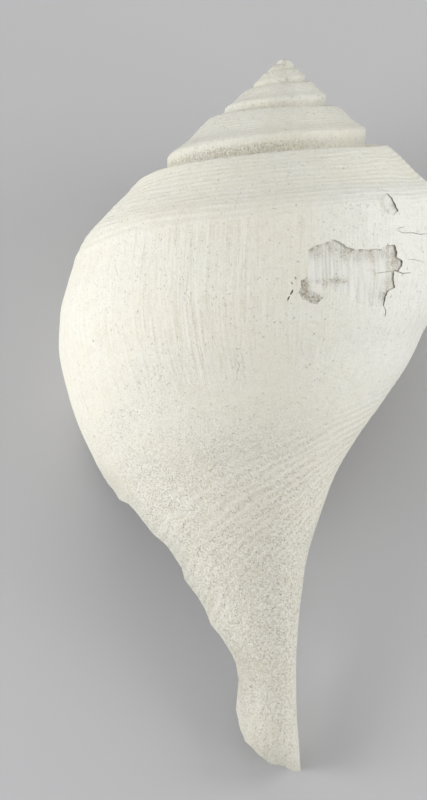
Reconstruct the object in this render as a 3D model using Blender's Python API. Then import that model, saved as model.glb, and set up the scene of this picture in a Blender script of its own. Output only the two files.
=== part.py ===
"""Pear whelk shell, a fossil, built as the one hollow spiral piece that the animal grew.

The shell is described in its own frame, in millimetres: the coil axis runs along Y with the apex at the
origin and the canal towards -Y, the back faces +Z, and depth is the distance below the apex. The tube of the
shell is one profile, from the suture down to the canal, that turns about the axis and grows. Angles are in
half turns: 0 is the right side of the back view, 0.5 the back, 1 the left side, and growth goes upwards.
At the end the shell lies as it rests, on its outer lip, its belly and the tip of its canal.
"""

import math

import bmesh
import bpy
import numpy as np
from mathutils import Matrix

# Driving dimensions, in millimetres
GROWTH = 1.4  # each half turn makes the shell this much larger
WALL = 1.7  # thickness of the wall at the lip
CANAL_WALL = 1.0
THINNEST_WALL = 0.8
GLAZE = 0.25  # callus that the animal laid over the inner side of its opening
COLUMELLA_RADIUS = 1.25
APEX_DOME = (0.6, 0.25)  # width and depth of a ring on the worn apex, as shares of the first whorl's

# The profile, from the suture to the tip of the canal, as rows of: radius and depth on the right side,
# radius and depth half a turn later on the left side, and the angle in degrees where the lip ends.
PROFILE = np.array(
    [
        (11.40, 12.92, 15.96, 18.09, 213),  # suture
        (12.30, 13.00, 17.22, 18.20, 213),  # floor of the channel beside the suture
        (13.60, 12.15, 18.90, 17.05, 213),
        (14.30, 12.05, 19.95, 16.90, 213),  # rim of the channel
        (16.10, 13.45, 22.40, 19.40, 213),
        (19.30, 16.65, 26.00, 23.10, 213),
        (21.50, 18.30, 27.90, 25.40, 213),
        (22.40, 19.40, 29.20, 28.20, 214),  # shoulder keel
        (22.60, 22.50, 30.25, 31.50, 215),
        (22.40, 25.32, 31.20, 35.45, 216),  # where the next whorl's suture runs
        (22.90, 28.50, 31.40, 39.90, 215),  # widest
        (21.90, 33.50, 30.30, 45.60, 211),
        (19.25, 38.30, 28.70, 50.40, 207),
        (14.25, 46.70, 24.70, 58.40, 199),
        (10.30, 51.80, 22.10, 62.00, 182),
        (7.10, 56.80, 19.30, 67.20, 171),
        (5.15, 61.90, 15.10, 73.00, 170),
        (3.10, 68.60, 11.20, 79.60, 170),
        (2.05, 77.00, 8.35, 87.00, 160),
        (1.70, 84.00, 7.00, 92.00, 172),
        (1.80, 90.60, 6.70, 96.00, 165),
        (2.05, 94.50, 6.50, 98.70, 140),
        (2.40, 99.80, 6.10, 101.2, 80),  # tip of the canal
    ]
)
SUTURE_ROW = 9
RIM_ROW = 3
BODY_ROW = 12  # the wall starts to thin towards the canal here
CANAL_ROW = 18
TIP_ROW = 22
# How much the depth of the canal's rows follows the growth, from all of it to none at the tip
DEPTH_GROWTH = np.array([1.0] * 18 + [0.75, 0.45, 0.24, 0.09, 0.0])
# The columella stops growing thinner below these angles, in half turns
LEAST_TURN = np.array([-12.0] * 17 + [-2.5, -1.6, -1.0, -1.0, -1.0, -1.0])
SHIFT_SOFTNESS = 0.3

LIP_TURN = 213 / 180
COLUMNS = 48  # per whole turn
WHORLS_BEFORE_LAST = 3
ROWS = sorted(set(range(TIP_ROW + 1)) | {11.5, 12.33, 12.67, 13.5, 14.5, 15.5, 16.5, 17.5})

# The hollow
HOLLOW_TURNS = 1.5
HOLLOW_COLUMNS = 36  # per whole turn
HOLLOW_OUTER_POINTS = 13
HOLLOW_INNER_POINTS = 9
LIP_OVERRUN = 20 / 180
TIP_OVERRUN = 4.0
LEAST_GAP = 0.15  # both sides of the hollow end where they come this close
FINE_ROWS = 160  # for finding the hollow's outline
SPIRE_ROWS = 30  # of those, the first ones, which are never where it ends

# Where the surface has flaked off the back: outlines as seen from the back with the apex tipped away by
# BACK_VIEW_TIP, as distances right of the axis and below the apex
BACK_VIEW_TIP = math.radians(3.5)
FLAKE_OUTLINE = [
    (3.4, 26.9),
    (5.8, 25.8),
    (7.2, 25.4),
    (9.0, 26.4),
    (12.0, 26.7),
    (13.9, 26.6),
    (15.6, 26.0),
    (16.0, 27.8),
    (16.7, 28.5),
    (16.2, 29.7),
    (15.5, 29.9),
    (15.6, 32.1),
    (14.4, 33.4),
    (14.1, 34.7),
    (11.4, 34.7),
    (9.3, 33.6),
    (6.0, 32.9),
    (4.7, 34.3),
    (3.9, 34.3),
    (2.2, 32.8),
    (2.7, 31.1),
    (3.3, 31.0),
]
FLAKE_DEPTH = (0.65, 0.3)  # at its top and its bottom
FLAKE_SPAN = ((0.25, 0.5), (7.7, 11.3))  # angles and rows that hold it
CHIP_OUTLINE = [(14.2, 19.6), (15.0, 19.3), (15.9, 20.2), (16.1, 21.6), (15.2, 21.9), (14.4, 21.0)]
CHIP_DEPTH = (0.45, 0.3)
CHIP_SPAN = ((0.2, 0.36), (4.5, 8.5))
CUTTER_RISE = 2.0  # how far the cutters stand above the surface
CUTTER_GRID = 9
PRISM_ENDS = (40, 5)  # how far towards the eye the outlines are drawn out, from the axis

# How the shell lies: first rolled about its axis, then its apex raised
REST_ROLL = math.radians(7.05)
REST_PITCH = math.radians(13.34)

MM = 0.001


def smooth_rows(table, rows):
    """Values of the table at fractional rows, on a cubic through its rows that never overshoots them."""
    table = np.asarray(table, float)
    rows = np.asarray(rows, float)
    step = np.diff(table, axis=0)
    slope = np.zeros_like(table)
    rising = step[:-1] * step[1:] > 0
    slope[1:-1] = np.where(rising, 2 * step[:-1] * step[1:] / np.where(rising, step[:-1] + step[1:], 1), 0)
    slope[0] = step[0]
    slope[-1] = step[-1]
    low = np.clip(np.floor(rows).astype(int), 0, len(table) - 2)
    t = rows - low
    if table.ndim > 1:
        t = t[:, None]
    return (
        table[low] * (1 + 2 * t) * (1 - t) ** 2
        + slope[low] * t * (1 - t) ** 2
        + table[low + 1] * t**2 * (3 - 2 * t)
        - slope[low + 1] * t**2 * (1 - t)
    )


def section(turn, rows):
    """Radius and depth of the shell's outside at these angles and rows, which are arrays of one shape."""
    rows = np.asarray(rows, float)
    turn = np.broadcast_to(np.asarray(turn, float), rows.shape)
    right = smooth_rows(PROFILE[:, 0:2], rows.ravel())
    left = smooth_rows(PROFILE[:, 2:4], rows.ravel())
    held = np.maximum(turn.ravel(), smooth_rows(LEAST_TURN, rows.ravel()))
    growth = math.log(GROWTH) * np.stack([np.ones(rows.size), smooth_rows(DEPTH_GROWTH, rows.ravel())], axis=1)
    shift = np.log(left / right) - growth
    later = np.maximum(held, 0)
    shift_share = later**2 * (1 + SHIFT_SOFTNESS) / (later + SHIFT_SOFTNESS)
    both = right * np.exp(growth * held[:, None] + shift * shift_share[:, None])
    radius = both[:, 0].reshape(rows.shape)
    depth = both[:, 1].reshape(rows.shape)
    return radius, depth


def point(turn, radius, depth):
    angle = np.asarray(turn) * math.pi
    return np.stack([radius * np.cos(angle), -depth, radius * np.sin(angle)], axis=-1)


def column_turn(column, row):
    """Angle of a point of the outside. Columns end at the lip, and the last turn's lean as the lip does."""
    into_last_turn = column / COLUMNS
    turn = LIP_TURN - 2 + 2 * into_last_turn
    lip = smooth_rows(PROFILE[:, 4], [row])[0] / 180
    return turn + (lip - LIP_TURN) * max(into_last_turn, 0) ** 2


def strip_between(bm, one, other):
    """Triangles between two lines of vertices that may have unlike counts."""
    i = 0
    j = 0
    while i < len(one) - 1 or j < len(other) - 1:
        along_one = (i + 1) / (len(one) - 1) if i < len(one) - 1 else 2
        along_other = (j + 1) / (len(other) - 1) if j < len(other) - 1 else 2
        if along_one <= along_other:
            corners = (one[i], one[i + 1], other[j])
            i += 1
        else:
            corners = (one[i], other[j + 1], other[j])
            j += 1
        if len(set(corners)) == 3:
            bm.faces.new(corners)


def build_outer_form():
    """The whole shell as if it were solid, with its opening and the end of its canal closed over."""
    bm = bmesh.new()
    first = -WHORLS_BEFORE_LAST * COLUMNS
    suture = ROWS.index(SUTURE_ROW)
    made = {}

    def vertex(column, j):
        if j == 0 and column >= first + COLUMNS:
            return vertex(column - COLUMNS, suture)
        if (column, j) not in made:
            turn = column_turn(column, ROWS[j])
            radius, depth = section([turn], [ROWS[j]])
            made[column, j] = bm.verts.new(point([turn], radius, depth)[0] * MM)
        return made[column, j]

    for column in range(first, COLUMNS):
        last_row = suture if column < 0 else len(ROWS) - 1
        for j in range(last_row):
            corners = (vertex(column, j), vertex(column, j + 1), vertex(column + 1, j + 1), vertex(column + 1, j))
            bm.faces.new(corners)

    # The apex is worn round: a dome closes the first whorl
    apex = bm.verts.new((0, 0, 0))
    wide, deep = APEX_DOME
    ring = [vertex(column, 0) for column in range(first, first + COLUMNS)]
    ring += [vertex(first, j) for j in range(suture, 0, -1)]
    dome = [bm.verts.new((v.co.x * wide, v.co.y * deep, v.co.z * wide)) for v in ring]
    for k in range(len(ring)):
        bm.faces.new((ring[k - 1], ring[k], dome[k], dome[k - 1]))
        bm.faces.new((dome[k - 1], dome[k], apex))

    # The opening, between the lip and the wall of the whorl before it
    lip = [vertex(COLUMNS, j) for j in range(len(ROWS))]
    inner_side = [vertex(0, j) for j in range(suture, len(ROWS))]
    strip_between(bm, lip, inner_side)

    # The end of the canal
    end = [vertex(column, len(ROWS) - 1) for column in range(COLUMNS + 1)]
    bm.faces.new(end)
    bmesh.ops.triangulate(bm, faces=bm.faces[:], ngon_method="BEAUTY")
    bmesh.ops.recalc_face_normals(bm, faces=bm.faces[:])
    return bm


def resampled(line, count):
    """The line's points made evenly spaced."""
    steps = np.hypot(*np.diff(line, axis=0).T)
    along = np.concatenate([[0], np.cumsum(steps)])
    wanted = np.linspace(0, along[-1], count)
    return np.stack([np.interp(wanted, along, line[:, k]) for k in (0, 1)], axis=1)


def hollow_loop(turn):
    """The hollow's outline in the half plane at this angle, as radius and depth, once round."""
    rows = np.linspace(RIM_ROW + 1, TIP_ROW, FINE_ROWS)
    outside = np.stack(section(turn, rows), axis=1)
    along = np.gradient(outside, axis=0)
    along /= np.hypot(*along.T)[:, None]
    inward = np.stack([-along[:, 1], along[:, 0]], axis=1)
    wall = np.interp(rows, (BODY_ROW, CANAL_ROW), (WALL * GROWTH ** (turn - LIP_TURN), CANAL_WALL))
    outer = outside + inward * np.maximum(wall, THINNEST_WALL)[:, None]

    rows = np.linspace(SUTURE_ROW + 1, TIP_ROW, FINE_ROWS)
    radius, depth = section(turn - 2, rows)
    inner = np.stack([np.maximum(radius, COLUMELLA_RADIUS) + GLAZE, depth], axis=1)

    # Both sides end where they meet, or past the tip of the canal where the canal is open
    outer = np.vstack([outer, outer[-1] + (0, TIP_OVERRUN)])
    inner = np.vstack([inner, (inner[-1, 0], outer[-1, 1])])
    order = np.argsort(inner[:, 1])
    gap = outer[:, 0] - np.interp(outer[:, 1], inner[order, 1], inner[order, 0])
    narrow = np.flatnonzero((gap < LEAST_GAP) & (np.arange(len(gap)) > SPIRE_ROWS))
    if len(narrow):
        outer = outer[: narrow[0]]
        inner = inner[inner[:, 1] < outer[-1, 1]]
    return np.vstack([resampled(outer, HOLLOW_OUTER_POINTS), resampled(inner, HOLLOW_INNER_POINTS)[::-1]])


def build_hollow():
    """The space inside the tube, which runs out past the lip."""
    bm = bmesh.new()
    count = round(HOLLOW_TURNS * HOLLOW_COLUMNS)
    turns = np.linspace(LIP_TURN + LIP_OVERRUN, LIP_TURN - 2 * HOLLOW_TURNS, count)
    rings = []
    for turn in turns:
        loop = hollow_loop(turn)
        rings.append([bm.verts.new(p * MM) for p in point(turn, loop[:, 0], loop[:, 1])])
    for one, other in zip(rings, rings[1:]):
        for k in range(len(one)):
            bm.faces.new((one[k - 1], one[k], other[k], other[k - 1]))
    for ring in (rings[0], rings[-1]):
        strip_between(bm, ring[:HOLLOW_OUTER_POINTS], ring[: HOLLOW_OUTER_POINTS - 1 : -1])
    bmesh.ops.triangulate(bm, faces=bm.faces[:])
    bmesh.ops.recalc_face_normals(bm, faces=bm.faces[:])
    return bm


def build_flake_layer(span, depths):
    """A layer of the shell's surface over this span, as deep as the flake."""
    bm = bmesh.new()
    turns = np.linspace(*span[0], CUTTER_GRID)
    rows = np.linspace(*span[1], CUTTER_GRID)
    grid_turn, grid_row = np.meshgrid(turns, rows, indexing="ij")
    spots = point(grid_turn, *section(grid_turn, grid_row))
    outward = np.cross(np.gradient(spots, axis=1), np.gradient(spots, axis=0))
    outward /= np.linalg.norm(outward, axis=2)[:, :, None]
    if np.sum(outward * spots * (1, 0, 1)) < 0:
        outward = -outward
    sunk = np.linspace(*depths, CUTTER_GRID)[None, :, None]
    floor = [[bm.verts.new(p * MM) for p in line] for line in spots - outward * sunk]
    roof = [[bm.verts.new(p * MM) for p in line] for line in spots + outward * CUTTER_RISE]
    last = CUTTER_GRID - 1
    for i in range(last):
        for j in range(last):
            for sheet in (floor, roof):
                bm.faces.new((sheet[i][j], sheet[i + 1][j], sheet[i + 1][j + 1], sheet[i][j + 1]))
        for j in (0, last):
            bm.faces.new((floor[i][j], floor[i + 1][j], roof[i + 1][j], roof[i][j]))
    for j in range(last):
        for i in (0, last):
            bm.faces.new((floor[i][j], floor[i][j + 1], roof[i][j + 1], roof[i][j]))
    bmesh.ops.triangulate(bm, faces=bm.faces[:])
    bmesh.ops.recalc_face_normals(bm, faces=bm.faces[:])
    return bm


def build_outline_prism(outline):
    """The outline as seen from the back, drawn out along the line of sight."""
    bm = bmesh.new()
    near, far = [
        [
            bm.verts.new(
                (
                    x * MM,
                    (-down * math.cos(BACK_VIEW_TIP) - away * math.sin(BACK_VIEW_TIP)) * MM,
                    (-down * math.sin(BACK_VIEW_TIP) + away * math.cos(BACK_VIEW_TIP)) * MM,
                )
            )
            for x, down in outline
        ]
        for away in PRISM_ENDS
    ]
    for k in range(len(outline)):
        bm.faces.new((near[k - 1], near[k], far[k], far[k - 1]))
    bm.faces.new(near)
    bm.faces.new(far)
    bmesh.ops.triangulate(bm, faces=bm.faces[:])
    bmesh.ops.recalc_face_normals(bm, faces=bm.faces[:])
    return bm


def add_boolean(obj, operation, other):
    modifier = obj.modifiers.new(other.name, "BOOLEAN")
    modifier.operation = operation
    modifier.solver = "EXACT"
    modifier.object = other
    other.hide_render = True
    other.display_type = "WIRE"


def resting_place(bm):
    """The move that lays this shape down, on the ground and centred over the origin."""
    turned = Matrix.Rotation(REST_PITCH, 4, "X") @ Matrix.Rotation(REST_ROLL, 4, "Y")
    spots = np.array([turned @ v.co for v in bm.verts])
    low = spots.min(axis=0)
    high = spots.max(axis=0)
    return Matrix.Translation((-(low[0] + high[0]) / 2, -(low[1] + high[1]) / 2, -low[2])) @ turned


def add_object(name, bm, collection, place):
    bm.transform(place)
    mesh = bpy.data.meshes.new(name)
    bm.to_mesh(mesh)
    bm.free()
    obj = bpy.data.objects.new(name, mesh)
    collection.objects.link(obj)
    return obj


def chalk_material():
    material = bpy.data.materials.new("chalky_shell")
    material.use_nodes = True
    shader = material.node_tree.nodes["Principled BSDF"]
    shader.inputs["Base Color"].default_value = (0.78, 0.76, 0.68, 1)
    shader.inputs["Roughness"].default_value = 0.8
    shader.inputs["Metallic"].default_value = 0.0
    return material


def new_collection(name):
    collection = bpy.data.collections.new(name)
    bpy.context.scene.collection.children.link(collection)
    return collection


def main():
    for obj in list(bpy.data.objects):
        bpy.data.objects.remove(obj)
    parts = new_collection("pear_whelk_shell")
    cutters = new_collection("cutters")
    outer_form = build_outer_form()
    place = resting_place(outer_form)
    shell = add_object("shell", outer_form, parts, place)
    shell.data.materials.append(chalk_material())
    add_boolean(shell, "DIFFERENCE", add_object("hollow", build_hollow(), cutters, place))
    for name, outline, depths, span in (
        ("flake", FLAKE_OUTLINE, FLAKE_DEPTH, FLAKE_SPAN),
        ("chip", CHIP_OUTLINE, CHIP_DEPTH, CHIP_SPAN),
    ):
        layer = add_object(name, build_flake_layer(span, depths), cutters, place)
        outline_prism = add_object(name + "_outline", build_outline_prism(outline), cutters, place)
        add_boolean(layer, "INTERSECT", outline_prism)
        add_boolean(shell, "DIFFERENCE", layer)


main()
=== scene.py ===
"""Looks of the pear whelk shell: the fossil's fine surface, its floor, lights and camera.

The shape comes from the same formula and the same numbers as part.py, in millimetres in the shell's own
frame: the coil axis runs along Y with the apex at the origin, the back faces +Z, and depth is the distance
below the apex. Angles are in half turns: 0 is the right side of the back view, 0.5 the back, 1 the left side.
"""

import math
from functools import partial

import bmesh
import bpy
import numpy as np
from mathutils import Matrix, Vector, noise


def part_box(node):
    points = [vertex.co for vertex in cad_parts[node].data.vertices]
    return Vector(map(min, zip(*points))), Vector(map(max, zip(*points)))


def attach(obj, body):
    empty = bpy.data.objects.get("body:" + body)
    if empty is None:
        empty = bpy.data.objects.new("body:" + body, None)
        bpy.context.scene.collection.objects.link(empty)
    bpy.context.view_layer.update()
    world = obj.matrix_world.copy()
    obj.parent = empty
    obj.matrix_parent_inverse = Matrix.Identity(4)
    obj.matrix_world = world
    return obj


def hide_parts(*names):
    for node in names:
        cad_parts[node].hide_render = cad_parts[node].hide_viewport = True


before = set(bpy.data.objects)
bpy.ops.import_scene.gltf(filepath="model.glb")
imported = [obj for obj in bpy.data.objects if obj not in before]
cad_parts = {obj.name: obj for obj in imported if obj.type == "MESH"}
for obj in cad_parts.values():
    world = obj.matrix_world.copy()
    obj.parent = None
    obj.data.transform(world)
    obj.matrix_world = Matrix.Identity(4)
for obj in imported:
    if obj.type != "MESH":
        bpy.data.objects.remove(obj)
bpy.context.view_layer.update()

MM = 0.001
MM_PER_METRE = 1000

# The form, as in part.py
GROWTH = 1.4
WALL = 1.7
CANAL_WALL = 1.0
THINNEST_WALL = 0.8
GLAZE = 0.25
COLUMELLA_RADIUS = 1.25
# Rows of the profile: radius and depth on the right, the same on the left, the lip's angle in degrees
PROFILE = np.array([
    (11.40, 12.92, 15.96, 18.09, 213),
    (12.30, 13.00, 17.22, 18.20, 213),
    (13.60, 12.15, 18.90, 17.05, 213),
    (14.30, 12.05, 19.95, 16.90, 213),
    (16.10, 13.45, 22.40, 19.40, 213),
    (19.30, 16.65, 26.00, 23.10, 213),
    (21.50, 18.30, 27.90, 25.40, 213),
    (22.40, 19.40, 29.20, 28.20, 214),
    (22.60, 22.50, 30.25, 31.50, 215),
    (22.40, 25.32, 31.20, 35.45, 216),
    (22.90, 28.50, 31.40, 39.90, 215),
    (21.90, 33.50, 30.30, 45.60, 211),
    (19.25, 38.30, 28.70, 50.40, 207),
    (14.25, 46.70, 24.70, 58.40, 199),
    (10.30, 51.80, 22.10, 62.00, 182),
    (7.10, 56.80, 19.30, 67.20, 171),
    (5.15, 61.90, 15.10, 73.00, 170),
    (3.10, 68.60, 11.20, 79.60, 170),
    (2.05, 77.00, 8.35, 87.00, 160),
    (1.70, 84.00, 7.00, 92.00, 172),
    (1.80, 90.60, 6.70, 96.00, 165),
    (2.05, 94.50, 6.50, 98.70, 140),
    (2.40, 99.80, 6.10, 101.2, 80),
])
BACK = 0.5
RIM_ROW = 3
KEEL_ROW = 7
SUTURE_ROW = 9
BODY_ROW = 12
CANAL_ROW = 18
TIP_ROW = 22
# For each row, how much its depth grows beside its radius, and the angle before which it stays as it is
DEPTH_GROWTH = np.array([1.0] * 18 + [0.75, 0.45, 0.24, 0.09, 0.0])
LEAST_TURN = np.array([-12.0] * 17 + [-2.5, -1.6, -1.0, -1.0, -1.0, -1.0])
SHIFT_SOFTNESS = 0.3
LIP_TURN = 213 / 180
REST_ROLL = math.radians(7.05)
REST_PITCH = math.radians(13.34)
BACK_VIEW_TIP = math.radians(3.5)

# The camera looks square at the back of the shell, with the apex tipped away
IMAGE_WIDTH = 427
IMAGE_HEIGHT = 800
MM_PER_PIXEL = 0.14065
AXIS_X = 283.5  # in pixels of the photograph, as is the apex
APEX_Y = 59.4
CAMERA_DISTANCE = 2.4
SENSOR = 24.0  # along the longer side of the picture, which is its height
FARTHEST_SEEN = 20
# Middle of the picture, right of the axis and below the apex, in millimetres
PICTURE_MIDDLE = np.array([IMAGE_WIDTH / 2 - AXIS_X, IMAGE_HEIGHT / 2 - APEX_Y]) * MM_PER_PIXEL

# The fine mesh: rows are closer together where the surface has threads
COLUMNS = 216  # per whole turn
ROW_ZONES = [
    (0, RIM_ROW, 0.28),
    (RIM_ROW, 7.6, 0.26),
    (7.6, 11, 0.6),
    (11, 16, 0.28),
    (16, TIP_ROW, 0.55),
]
OLD_WHORL_SPACINGS = (0.4, 0.7, 1.2, 2.4)  # for the whorls before the last, from the youngest
DOME_START_ROW = 7.0  # the worn apex begins at this row of the oldest whorl
DOME_START_SHARES = (0.4, 1)  # over these shares of its turn, it begins ever nearer to the suture
DOME_SHARES = (0.85, 0.7, 0.55, 0.4, 0.2)
DOME_POWER = 2.8
APEX_WEAR = 0.5  # the worn apex is lower by this share, less and less out to this radius
APEX_WEAR_RADIUS = 2.2
KEEL_ROUNDING = 3  # times that the whorls before the last are smoothed along their profile
ROUNDED_TURNS = (-0.85, -1.05)  # from none to all of it
LIP_SHARES = (0.94, 1)  # the part of the last turn that follows the ragged lip
LIP_WANDER_SIZES = (4.5, 1.5)
LIP_WANDER = (0.55, 0.3)
LOWER_LIP_ROWS = (10.5, 13.5)  # the upper lip wanders half as much

HOLLOW_TURNS = 1.5
HOLLOW_COLUMNS = 84  # per whole turn
HOLLOW_OUTER_POINTS = 40
HOLLOW_INNER_POINTS = 26
LIP_OVERRUN = 20 / 180
TIP_OVERRUN = 4.0
LEAST_GAP = 0.15
SHARP_ANGLE = math.radians(38)
FINE_ROWS = 160  # points of each wall of the hollow
RUN_POINTS = 2201
SPIRE_ROWS = 30  # within so many of the first points, the hollow doesn't end where it is narrow

# Where the whorls depart from the even spiral, as seen at the shell's sides:
# angle and row at the middle of the change, change of radius and depth, and its reach in angle and rows
WHORL_CHANGES = [
    (-2.0, 1.5, 0.00, 0.45, 0.5, 3.0),
    (-4.0, 9.0, 0.00, 0.40, 0.5, 1.5),
    (-1.0, 1.5, 0.00, -0.45, 0.4, 2.5),
    (-3.0, 9.0, 0.00, -0.40, 0.4, 1.5),
    (-1.0, 8.0, 0.20, 0.00, 0.5, 2.5),
    (1.0, 13.2, -0.35, 0.00, 0.5, 0.8),
    (0.0, 12.45, 0.40, 0.00, 0.4, 0.35),
    (0.0, 22.0, 0.00, 0.30, 0.5, 0.8),
]

# The broken edge of the lip and the canal: distances right of the axis and below the apex, seen from behind
BREAK_OUTLINE = np.array([
    (-25.2, 58.9), (-24.7, 59.6), (-23.7, 60.9), (-23.1, 61.9), (-21.7, 62.6), (-20.8, 63.6),
    (-18.3, 66.8), (-16.6, 68.2), (-15.7, 69.4), (-14.3, 71.6), (-13.9, 73.2), (-12.2, 75.4),
    (-11.1, 77.2), (-10.2, 79.5), (-8.8, 81.2), (-7.3, 83.6), (-6.7, 85.0), (-6.3, 87.2),
    (-6.7, 91.4), (-6.1, 94.1), (-5.4, 95.9), (-4.4, 96.8), (-3.5, 97.8), (-1.8, 99.1),
    (0.0, 99.4), (1.1, 100.0), (2.0, 100.3), (2.7, 100.1), (6.0, 99.8),
])
BEYOND_BREAK = np.array([(6.0, 112.0), (-45.0, 112.0), (-45.0, 58.5)])
BREAK_WOBBLE = 0.05
RIM_WIDTH = 1.8  # the surface is smoother and greyer this near the broken edge
# Before it is broken, the wall is this much longer, in degrees at these rows
SPARE_ROWS = (12.5, 13.5, 19, 20, 21, 22)
SPARE_WALL = (0, 6, 8, 15, 35, 60)

# Damage on the back: outlines as distances right of the axis and below the apex, seen from behind
FLAKE_OUTLINE = np.array([
    (3.4, 26.9), (4.4, 26.2), (5.8, 25.8), (7.2, 25.4), (8.2, 25.8), (9.0, 26.4), (10.1, 26.8),
    (12.0, 26.7), (13.9, 26.6), (14.6, 26.1), (15.6, 26.0), (16.0, 27.0), (16.0, 27.8),
    (16.8, 28.4), (16.7, 29.1), (16.2, 29.7), (15.5, 29.9), (15.5, 31.0), (15.7, 32.1),
    (14.8, 32.6), (14.4, 33.4), (14.1, 34.7), (11.4, 34.7), (9.3, 33.6), (6.9, 33.2),
    (6.0, 33.1), (5.5, 33.6), (4.7, 34.4), (3.6, 34.2), (2.5, 33.6), (2.1, 32.8), (2.5, 31.9),
    (2.4, 31.0), (3.1, 30.8), (3.5, 29.4),
])
FLAKE_SOFT_SIDE = np.array([
    (13.6, 34.9), (11.4, 34.7), (9.3, 33.9), (7.9, 33.7), (5.0, 33.1), (2.9, 30.6),
    (3.3, 28.9),
])
FLAKE_SPAN = ((0.25, 0.5), (7.7, 11.3))
FLAKE_GRID = (84, 52)
FLAKE_FIBRE_HEIGHT = 0.09
FIBRE_STRETCH = (2.4, 0.35)  # lumps a millimetre, across and down
FINE_FIBRES = (2.6, 1.6, 1)  # times as many
FLAKE_LEDGE = (31.3, 9.6, 0.16)  # below this depth and left of this place, the floor is this much higher
LEDGE_WANDER = 0.25
LEAST_FLOOR = 0.1  # share of the depth that is left at the soft side
# Grime in the flake, with painted shadow along its upper and right edges and above its ledge: place, reach
# and strength
FLAKE_GRIME_AND_SHADE = [
    (2.8, 31.6, 0.8, 1.0), (2.9, 32.9, 0.9, 1.0), (4.0, 33.7, 0.9, 1.0), (5.1, 33.7, 0.7, 0.9),
    (4.9, 31.2, 0.4, 0.5), (5.9, 31.3, 0.4, 0.6), (6.8, 31.2, 0.4, 0.8), (7.7, 31.1, 0.5, 0.9),
    (8.7, 31.2, 0.4, 0.6), (14.4, 33.4, 0.9, 0.7), (15.8, 28.6, 1.0, 0.6), (4.0, 26.6, 0.4, 0.9),
    (5.0, 26.2, 0.35, 0.9), (6.2, 25.8, 0.35, 0.8), (9.6, 26.9, 0.35, 0.8), (11.0, 26.9, 0.35, 0.8),
    (12.4, 26.8, 0.35, 0.8), (13.8, 26.7, 0.35, 0.8), (14.9, 26.2, 0.35, 0.8), (4.9, 27.2, 0.9, 0.4),
    (6.9, 26.6, 0.9, 0.4), (8.8, 27.2, 0.9, 0.5), (10.6, 27.7, 0.8, 0.4), (12.4, 27.5, 0.8, 0.5),
    (14.2, 27.3, 0.8, 0.4), (15.3, 27.6, 0.6, 0.5), (14.8, 31.4, 0.8, 0.35), (12.8, 33.4, 0.8, 0.2),
]
FLAKE_FLOOR = {
    "depths": (0.32, 0.2),  # at its upper and lower end
    "soft_side": FLAKE_SOFT_SIDE,
    "soft_width": 1.3,  # this near the soft side, the floor comes up to the surface
    "grime_and_shade": FLAKE_GRIME_AND_SHADE,
}
CHIP_OUTLINE = np.array([
    (13.9, 19.2), (14.6, 18.9), (15.3, 19.5), (15.8, 20.4), (16.1, 21.3), (15.6, 21.9),
    (14.7, 21.7), (13.8, 20.9), (13.3, 19.9),
])
CHIP_SPAN = ((0.2, 0.36), (4.5, 8.5))
CHIP_GRID = (24, 24)
CHIP_FLOOR = {
    "depths": (0.22, 0.22),
    "soft_side": CHIP_OUTLINE[[1, 0, 8, 7, 6, 5]],
    "soft_width": 1.1,
    # grime and painted shadow along the chip's right edge
    "grime_and_shade": [(15.6, 20.4, 0.5, 0.6), (14.6, 21.5, 0.4, 0.5)],
}
# Cracks and scratches: half of the width, then the line
CRACKS = [
    (0.035, [(15.9, 23.9), (16.4, 23.7), (17.1, 23.5)]),
    (0.04, [(16.0, 24.0), (16.8, 24.4), (18.3, 24.4), (19.2, 24.6), (20.4, 24.5)]),
    (0.03, [(17.4, 28.1), (18.6, 28.2), (19.8, 28.5)]),
    (0.07, [(12.7, 30.1), (14.4, 29.9), (15.8, 29.7), (16.7, 30.1), (17.9, 30.0)]),
    (0.05, [(14.1, 34.6), (14.4, 35.4), (14.3, 36.2)]),
    (0.15, [(1.35, 32.4), (1.15, 32.8), (0.95, 33.1)]),
    (0.12, [(0.85, 33.3), (0.7, 33.6), (0.55, 33.9)]),
    (0.13, [(1.6, 30.6), (1.8, 30.9)]),
    (0.14, [(1.1, 31.4), (1.3, 31.6)]),
    (0.10, [(1.9, 28.4), (2.2, 28.5)]),
    (0.03, [(-6.6, 42.1), (-6.2, 43.1), (-6.6, 44.1)]),
]
CRACK_SPAN = ((0.15, 0.62), (6.0, 12.2))
CRACK_GRID = (100, 40)
CRACK_DEPTH = 0.45
CRACK_TAPER = 0.4  # share of the width at the ends
# grime and painted shade on the walls of flakes, chips and cracks, darkening them as a shadow would
EDGE_GRIME_AND_SHADE = 0.7
CUTTER_RISE = 1.5
BACK_ENDS = (40, 5)  # from here to here along the line of sight, for cuts in the back alone
WHOLE_ENDS = (60, -60)
OUTLINE_STEP = 0.3
OUTLINE_WOBBLE = 0.14
WOBBLE_SIZE = 0.5

# Relief of the surface, as heights in millimetres
THREAD_SPACING = 0.93
THREAD_HEIGHT = 0.065
THREAD_SHARPNESS = 1.7
THREAD_WANDER = 0.55  # of a thread
THREAD_STRETCH = (9, 0.35)  # lumps of the threads' noise in a half turn, and in a millimetre of the profile
THREAD_NOISE_SIZE = 0.45
THREAD_EVENNESS = (0.6, 0.9)  # the shoulder threads' mean strength, and how much it varies
THREAD_START_ROWS = 0.6  # the threads grow strong over this many rows below the rim
CREST_ROW = 7.0  # the threads of the shoulder end at this low crest
CREST_DRIFT_TURN = 0.68  # before this angle the crest lies lower, by a row a half turn
MOST_CREST_DRIFT = 0.5
CREST_DRIFT_END = (-0.9, -0.3)  # the drift fades out over these angles
CREST_EDGE = 0.12  # the threads fade out over so many rows to either side
CREST_HEIGHT = 0.10
CREST_WIDTH = 0.35
LOW_CORD_SPACING = 1.15
LOW_CORD_GROWTH = 1.5
LOW_CORD_START = (50.0, 58.0)
LOW_CORD_END = (66.0, 78.0)
LOW_CORD_STRENGTH = 1.1
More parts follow.
